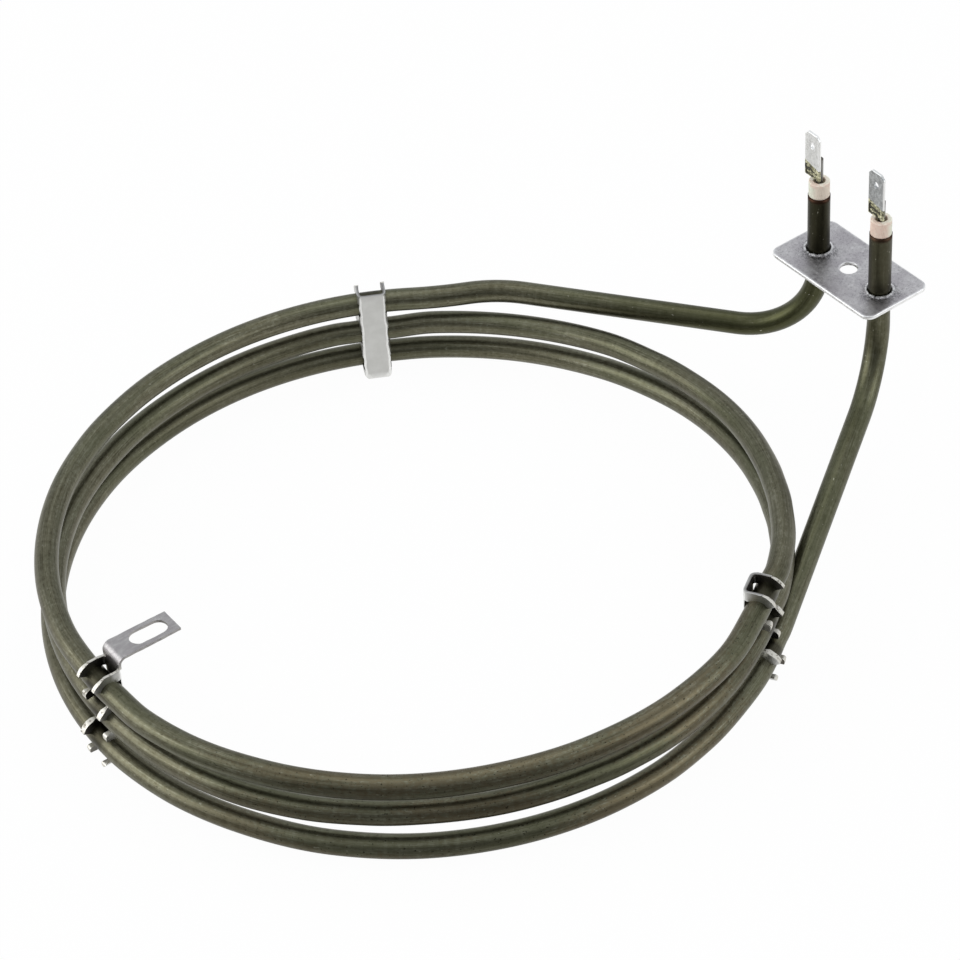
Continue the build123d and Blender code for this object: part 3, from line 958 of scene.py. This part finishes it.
RING_SHADE = (0.10, 0.35)   # and from the collar's foot where its thin ring of painted shade does
EDGE_RUB_AND_HIGHLIGHT = (-0.45, -0.10)   # millimetres from the outline where the plate is rubbed bright, with a painted highlight
# the screw hole's lip is rubbed and carries a painted highlight
LIP_RUB_AND_HIGHLIGHT = (0.05, 0.35)
# the collars' crests carry a painted highlight
CREST_HIGHLIGHT = (0.45, 0.85)
ZINC = (0.52, 0.505, 0.51)
ZINC_MAUVE = (0.42, 0.40, 0.415)
ZINC_PALE = (0.70, 0.70, 0.70)
ZINC_STAIN_AND_SHADE = (0.09, 0.09, 0.092)
ZINC_WORN_AND_HIGHLIGHT = (0.93, 0.93, 0.92)


def flange_material():
    tree = new_material("zinc_plate")
    place = here(tree)
    wear_and_highlight, stain_and_shade = mark(tree, "wear_and_highlight"), mark(tree, "stain_and_shade")
    cloud = grain(tree, place, (0.13, 0.13, 0.3), 3.0, 0.6)
    spangle = grain(tree, place, 1.0, 4.0, 0.68)
    fine = grain(tree, place, 3.0, 2.0)
    speckle = fine * 0.55 + spangle * 0.45
    colour = coated(
        tree, ZINC_MAUVE,
        (cloud.above(0.38, 0.60), ZINC),
        ((spangle * 0.7 + cloud * 0.3).above(0.54, 0.68) * 0.5, ZINC_PALE),
        (speckle.above(0.54, 0.64) * 0.35, ZINC_PALE),
        (speckle.below(0.39, 0.47) * 0.5, ZINC_STAIN_AND_SHADE),
        # stain, with painted shade beside the stubs, round the collars' feet and on the screw hole's wall
        (stain_and_shade * speckle.below(0.46, 0.58) * 0.9, ZINC_STAIN_AND_SHADE),
        # wear, with a painted highlight on the plate's edges, the screw hole's lip and the collars' crests
        (wear_and_highlight * (0.5 + spangle * 0.6).math("MINIMUM", 1.0), ZINC_WORN_AND_HIGHLIGHT))
    return surface(tree, colour, 1.0, 0.28 + spangle * 0.24, spangle * 0.6 + fine * 0.4, FLANGE_GRAIN_DEPTH)


def flange():
    bends = []
    for sx, sy, start in ((1, 1, 0), (-1, 1, 90), (-1, -1, 180), (1, -1, 270)):
        x = sx * (FLANGE_W / 2 - FLANGE_CORNER_R)
        y = sy * (FLANGE_L / 2 - FLANGE_CORNER_R)
        for a in range(start, start + 91, 15):
            bends += ring_points(x, y, FLANGE_CORNER_R, 1, radians(a))
    bore = TUBE_R + GAP
    holes = [(0.0, 0.0, FIX_HOLE_D / 2)] + [(stub.x, stub.y, bore) for stub in (STUB_A, STUB_B)]

    def collar(x, y):
        """Height of the staked rims at a point, and how near it is to their crests."""
        far = min((Vector((x, y, 0)) - stub).length for stub in (STUB_A, STUB_B))
        crest = bore + COLLAR_FLARE
        outer = COLLAR_D / 2 + COLLAR_WAVE * uneven((x, y, 0), 0.6)
        up = 1 - ease(crest + 0.15 * MM, outer - 0.25 * MM, far)
        down = 1 - ease(bore, crest, far)
        return COLLAR_H * up - COLLAR_FLARE * down, up * (1 - down)

    def faces(x, y):
        burr = 1 - ease(0.0, 0.75 * MM, sqrt(x * x + y * y) - FIX_HOLE_D / 2)
        wave = uneven((x, y, 0), 0.12) * PLATE_WAVE
        rise, _ = collar(x, y)
        return rise + FIX_HOLE_BURR * burr * 0.5 + min(0.0, wave - 0.2 * PLATE_WAVE), -FLANGE_T

    mesh = plate_mesh(divided(bends, FLANGE_STEP), holes, FLANGE_HOLE_STEP, FLANGE_EDGE, faces, FLANGE_GRID)
    wear_and_highlight, stain_and_shade = new_marks(mesh, "wear_and_highlight", "stain_and_shade")
    stain_shade_side = outward(STAIN_SHADE_AZ)
    for v in mesh.verts:
        x, y, z = v.co
        edge = box_distance(x, y, FLANGE_W, FLANGE_L, FLANGE_CORNER_R)
        hole = sqrt(x * x + y * y) - FIX_HOLE_D / 2
        lean = uneven(v.co, 0.7)
        rim = collar(x, y)[1] if z > 0.1 * MM else 0.0
        lip_wear_and_highlight = (1 - ease(*LIP_RUB_AND_HIGHLIGHT, hole / MM)) * (0.75 if z > FLANGE_TOP else 0.0)
        edge_wear_and_highlight = ease(*EDGE_RUB_AND_HIGHLIGHT, edge / MM) * (0.55 if -0.9 * MM < z < -0.3 * MM else 1.0)
        # wear and painted highlight on the edges, the screw hole's lip and the collars' crests
        v[wear_and_highlight] = max(edge_wear_and_highlight, ease(*CREST_HIGHLIGHT, rim), lip_wear_and_highlight) * (1.0 + 0.4 * lean)
        stain_shade = 0.0
        for stub in (STUB_A, STUB_B):
            side = Vector((x, y, 0)) - stub
            towards = ease(-0.2, 0.6, side.normalized().dot(stain_shade_side))
            stain_shade = max(stain_shade, (1 - ease(*STAIN_SHADE_REACH, side.length / MM)) * towards)
            stain_shade = max(stain_shade, 0.75 - ease(*RING_SHADE, abs(side.length - COLLAR_D / 2) / MM))
        # painted shade on the screw hole's wall
        wall = 1 - ease(0.0, 0.12, hole / MM)
        v[stain_and_shade] = stain_shade if z > FLANGE_TOP else wall
    return finish_mesh("flange_plate", mesh, flange_material())


add_to_model(flange(), ["flange"])


# ----------------------------------------------------------------------- clips
# Three combs of stainless strip hold the turns apart.  Each one is blanked, folded
# to a channel and hooked over the rod, and one of them ends in a screw bracket.
SHEET = 0.8 * MM
CLIP_W = 8.8 * MM
CLIP_BEND_R = 1.6 * MM
WEB_GAP = 0.15 * MM
TONGUE_BEND_R = 2.6 * MM
CLIP_BURR = 0.13 * MM
CLIP_BURR_ANGLE = 38
CLIP_STEP = 1.1 * MM        # spacing of the points along an edge
CLIP_RAGGED = 0.10 * MM
CLIP_SEED = 1
CLIP_MERGE = 0.002 * MM
SLOT_GAP = 0.1 * MM
HOOK_T = 2.4 * MM
WEB_X = min(TURN_RADII) - TUBE_R - WEB_GAP - SHEET
CLIP_TOP = TURN_Z[0] + TUBE_R + SLOT_GAP + HOOK_T
TIP_SWELL = 1.5             # the hooks' tips are thicker than the strip by this factor
PEG_SWELL = 2.3             # and the lower teeth's by this one
SWELL_OUT = (1.6 * MM, 3.4 * MM)    # beyond the first turn's centreline
CLIP_GRAIN_DEPTH = 0.05 * MM
WEB_END = WEB_X + 0.9 * CLIP_BEND_R     # the web turns into the walls between these
WALL_START = WEB_X + 1.6 * CLIP_BEND_R
# bands beside the web's edge, in millimetres inwards: its painted highlight along the bend and its painted
# shade at the notches
RIM_HIGHLIGHT_BAND = (-1.15, -0.85, -0.1, -0.3)
NOTCH_SHADE_BAND = (-0.35, -0.1)
NOTCH_SHADE_REACH = (0.8, 1.4)    # above and below each turn
FOOT_HIGHLIGHT = 0.8
WEB_WAVE = 0.32 * MM
STRIP = (0.56, 0.56, 0.54)
STRIP_DULL = (0.50, 0.50, 0.48)
STRIP_SHADE = (0.085, 0.078, 0.065)
STRIP_MAUVE = (0.285, 0.265, 0.272)
CUT_CREAM = (0.68, 0.66, 0.60)
RIM_HIGHLIGHT = (0.88, 0.88, 0.86)
CUT_DARK = (0.22, 0.20, 0.165)


def clip_material():
    tree = new_material("stainless_strip")
    place = here(tree)
    cut, tongue, inside, rim = (mark(tree, name) for name in ("cut", "tongue", "inside", "rim"))
    cloud = grain(tree, place, 0.25, 3.0)
    brushed = grain(tree, place, (0.30, 1.1, 1.1), 4.0, 0.6)
    torn = grain(tree, place, 0.85, 4.0, 0.65)
    mauve = blend(tree, brushed.above(0.35, 0.75) * 0.55, STRIP_MAUVE, STRIP_DULL)
    edge = blend(tree, torn.above(0.34, 0.48), CUT_DARK, CUT_CREAM)
    colour = coated(
        tree, STRIP_DULL,
        (cloud.above(0.30, 0.70), STRIP),
        # painted shade inside the channel and at the notches beside the turns
        (inside * (0.65 + cloud * 0.5).math("MINIMUM", 1.0), STRIP_SHADE),
        (tongue * 0.85, mauve),
        # painted highlight along the web's bends and on its feet
        (rim * (0.3 + torn), RIM_HIGHLIGHT),
        (cut.above(0.35, 0.65) * (1 - tongue * 0.8), edge))
    grained = torn * cut + brushed * tongue * 0.15 + cloud * 0.2
    return surface(tree, colour, 1.0, 0.34 + cloud * 0.14 + cut * 0.1, grained, CLIP_GRAIN_DEPTH)


def is_cut(place, normal, bracket):
    """Whether a face of a clip, turned so that X points outward, was cut and not rolled."""
    if bracket and place.z > CLIP_TOP + GAP:
        return abs(normal.y) > 0.7 or (abs(normal.z) < 0.3 and place.x < WEB_X + SHEET - TONGUE_BEND_R)
    if place.x < WEB_X + SHEET + 0.05 * MM and abs(place.y) < CLIP_W / 2 - 0.2 * MM:
        return abs(normal.z) > 0.6
    return abs(normal.y) < 0.35 and place.x > WEB_X + CLIP_BEND_R


def clip(name, node, az, material):
    noise.seed_set(CLIP_SEED)
    mesh = bmesh.new()
    mesh.from_mesh(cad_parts[node].data)
    bmesh.ops.remove_doubles(mesh, verts=mesh.verts, dist=CLIP_MERGE)
    bmesh.ops.dissolve_limit(mesh, angle_limit=radians(1.0), verts=mesh.verts, edges=mesh.edges)
    around = Matrix.Rotation(-radians(az), 3, "Z")
    middle = Vector((RING_X, RING_Y, 0))
    for e in [e for e in mesh.edges if e.calc_length() > 1.6 * CLIP_STEP]:
        bmesh.ops.subdivide_edges(mesh, edges=[e], cuts=max(1, round(e.calc_length() / CLIP_STEP) - 1))
    bmesh.ops.recalc_face_normals(mesh, faces=mesh.faces)
    burred = radians(CLIP_BURR_ANGLE)
    sharp = [e for e in mesh.edges if len(e.link_faces) == 2 and e.calc_face_angle() > burred]
    cut = mesh.faces.layers.float.new("cut")
    for f in mesh.faces:
        place = around @ (f.calc_center_median() - middle)
        f[cut] = 1.0 if is_cut(place, around @ f.normal, node == "clip_bracket") else 0.0
    inside, tongue, rim = new_marks(mesh, "inside", "tongue", "rim")
    edged = {v for e in sharp for v in e.verts}
    for v in mesh.verts:
        place = around @ (v.co - middle)
        side = 1 if place.y > 0 else -1
        deep = CLIP_W / 2 - SHEET - side * place.y
        # painted shade on the faces inside the channel
        v[inside] = ease(-0.2 * MM, 0.0, deep) * ease(WEB_X + 0.3 * MM, WEB_X + 0.6 * MM, place.x)
        v[tongue] = ease(CLIP_TOP - 0.5 * MM, CLIP_TOP + 0.8 * MM, place.z)
        if place.x < WEB_END and place.z < CLIP_TOP - 0.3 * MM:
            edge = (abs(place.y) - CLIP_W / 2) / MM
            foot = FOOT_HIGHLIGHT if place.z < TURN_Z[2] - TUBE_R - 0.8 * MM else 0.0
            # painted highlight along the bend and on the feet
            v[rim] = max(ease(*RIM_HIGHLIGHT_BAND[:2], edge) * ease(*RIM_HIGHLIGHT_BAND[2:], edge), foot)
            beside = min(abs(place.z - z) for z in TURN_Z) / MM
            # painted shade at the notches where the rod passes the web
            v[inside] = max(v[inside], ease(*NOTCH_SHADE_BAND, edge) * (1 - ease(*NOTCH_SHADE_REACH, beside)))
        if v in edged:
            place += noise.noise_vector(v.co * (0.45 / MM)) * CLIP_RAGGED
        factor = TIP_SWELL if place.z > TURN_Z[0] - TUBE_R else PEG_SWELL
        swell = ease(*SWELL_OUT, place.x - TURN_RADII[0]) * (factor - 1)
        core = side * (CLIP_W - SHEET) / 2
        place.y = core + (place.y - core) * (1 + swell)
        if place.z < CLIP_TOP + GAP and abs(place.y) > CLIP_W / 2 - CLIP_BEND_R:
            wave = noise.noise(Vector((side * 5, az, place.z * (0.42 / MM))))
            place.y += side * (1 - ease(WEB_END, WALL_START, place.x)) * (wave - 0.25) * WEB_WAVE
        v.co = around.transposed() @ place + middle
    bmesh.ops.bevel(mesh, geom=sharp, offset=CLIP_BURR, segments=2, profile=0.6, affect="EDGES",
                    clamp_overlap=True, material=-1)
    bmesh.ops.triangulate(mesh, faces=[f for f in mesh.faces if len(f.verts) > 4], quad_method="BEAUTY",
                          ngon_method="BEAUTY")
    piece = finish_mesh(name, mesh, material)
    weighted = piece.modifiers.new("flat_faces", "WEIGHTED_NORMAL")
    weighted.keep_sharp = False
    weighted.weight = 60
    return piece


strip = clip_material()
for name, node, az in (("right_clip", "clip_out", CLIP_OUT_AZ), ("back_clip", "clip_in", CLIP_IN_AZ),
                       ("bracket_clip", "clip_bracket", CLIP_BRACKET_AZ)):
    add_to_model(clip(name, node, az, strip), [node])


# -------------------------------------------------------------- floor and light
# A plain pale floor lies just under the clips' feet, white to look at and in its
# mirrored light.  On one side the studio is dim, which gives the metal its dark edges.
FLOOR_GAP = 0.3 * MM
FLOOR_SIZE = 12.0
FLOOR_WHITE = 0.97          # the rest of the floor takes the shadow
DIM_AZ = 235.055
DIM_SIDE = tuple(outward(DIM_AZ))
FLOOR_GREY = (0.8, 0.8, 0.8, 1)
FLOOR_DIM = 0.68
FLOOR_FADE = (0.14, 0.20)   # metres towards the dim side over which the floor dims
SKY_COOL = (0.93, 0.96, 1.0, 1)
SKY_STRENGTH = 0.85
SKY_DIM = 0.66
SKY_FADE = (0.45, 0.95)
WHITE = (1, 1, 1, 1)


def floor_material():
    tree = new_material("pale_floor")
    camera, glossy, through = (tree.get("ShaderNodeLightPath", out="Is %s Ray" % kind)
                               for kind in ("Camera", "Glossy", "Transmission"))
    mirrored = (glossy + through).math("MINIMUM", 1.0)
    seen = (mirrored + camera).math("MINIMUM", 1.0)
    ahead = vector_node(tree, "DOT_PRODUCT", here(tree), DIM_SIDE, "Value")
    strength = 1 - mirrored * ahead.above(*FLOOR_FADE) * FLOOR_DIM
    plain = tree.get("ShaderNodeBsdfDiffuse", values={"Color": FLOOR_GREY})
    glow = tree.get("ShaderNodeEmission", values={"Color": WHITE, "Strength": strength})
    mix = tree.get("ShaderNodeMixShader", values={0: seen * FLOOR_WHITE, 1: plain, 2: glow})
    tree.node("ShaderNodeOutputMaterial", values={"Surface": mix})
    return tree.owner


mesh = bpy.data.meshes.new("floor")
half, level = FLOOR_SIZE / 2, cad_box[0].z - FLOOR_GAP
mesh.from_pydata([(-half, -half, level), (half, -half, level), (half, half, level), (-half, half, level)],
                 [], [(0, 1, 2, 3)])
mesh.materials.append(floor_material())
floor = placed("floor", mesh)

world = bpy.data.worlds.new("studio")
bpy.context.scene.world = world
world.use_nodes = True
world.node_tree.nodes.clear()
sky = Tree(world.node_tree)
towards = sky.get("ShaderNodeTexCoord", out="Generated")
ahead = vector_node(sky, "DOT_PRODUCT", towards, DIM_SIDE, "Value")
dim = sky.get("ShaderNodeBackground", values={
    "Color": SKY_COOL, "Strength": SKY_STRENGTH - ahead.above(*SKY_FADE) * SKY_DIM})
white = sky.get("ShaderNodeBackground", values={"Color": WHITE, "Strength": 1.0})
seen = sky.get("ShaderNodeLightPath", out="Is Camera Ray")
mix = sky.get("ShaderNodeMixShader", values={0: seen, 1: dim, 2: white})
sky.node("ShaderNodeOutputWorld", values={"Surface": mix})

LAMP_AWAY = 1.5


def softbox(name, bearing, height, size, power):
    """A square lamp; bearing is in degrees clockwise from the dim side, as seen from above."""
    data = bpy.data.lights.new(name, "AREA")
    data.size = size
    data.energy = power
    lamp = placed(name, data)
    middle = Vector((RING_X, RING_Y, 0))
    towards = outward(DIM_AZ - bearing) * cos(radians(height)) + UP * sin(radians(height))
    lamp.location = middle + towards * LAMP_AWAY
    lamp.rotation_mode = "QUATERNION"
    lamp.rotation_quaternion = (middle - lamp.location).to_track_quat("-Z", "Y")


softbox("left_lamp", 85, 22, 1.1, 9.5)
softbox("right_lamp", -66, 24, 0.8, 4.0)
softbox("top_lamp", 180, 78, 1.0, 3.0)


# ---------------------------------------------------------------------- camera
# It looks down on the ring from the side of leg B, with a long lens.
RING_MIDDLE = Vector((RING_X, RING_Y, -RING_DROP))
CAMERA_AWAY = 1024.21 * MM
CAMERA_TURN = 34.945        # degrees round the ring, from the -Y side towards -X
CAMERA_HEIGHT = 0.7151      # radians above the ring's plane
CAMERA_ROLL = -0.0680
CAMERA_SHIFT = (19.53 * MM, 16.93 * MM)
FOCAL_PIXELS = 3577.65
FRAME_PIXELS = 960
SENSOR = 36.0

turn = Matrix.Rotation(-radians(CAMERA_TURN), 3, "Z")
right = turn @ Vector((1, 0, 0))
ahead = turn @ Vector((0, cos(CAMERA_HEIGHT), -sin(CAMERA_HEIGHT)))
over = right.cross(ahead)
target = RING_MIDDLE + turn @ Vector((CAMERA_SHIFT[0], CAMERA_SHIFT[1], 0))
side = right * cos(CAMERA_ROLL) + over * sin(CAMERA_ROLL)
top = over * cos(CAMERA_ROLL) - right * sin(CAMERA_ROLL)
lens = bpy.data.cameras.new("camera")
lens.sensor_width = SENSOR
lens.lens = FOCAL_PIXELS / FRAME_PIXELS * SENSOR
lens.clip_end = 20
camera = placed("camera", lens)
camera.matrix_world = Matrix.Translation(target - ahead * CAMERA_AWAY) @ Matrix(
    (side, top, -ahead)).transposed().to_4x4()
bpy.context.scene.camera = camera
bpy.context.scene.view_settings.view_transform = "Standard"
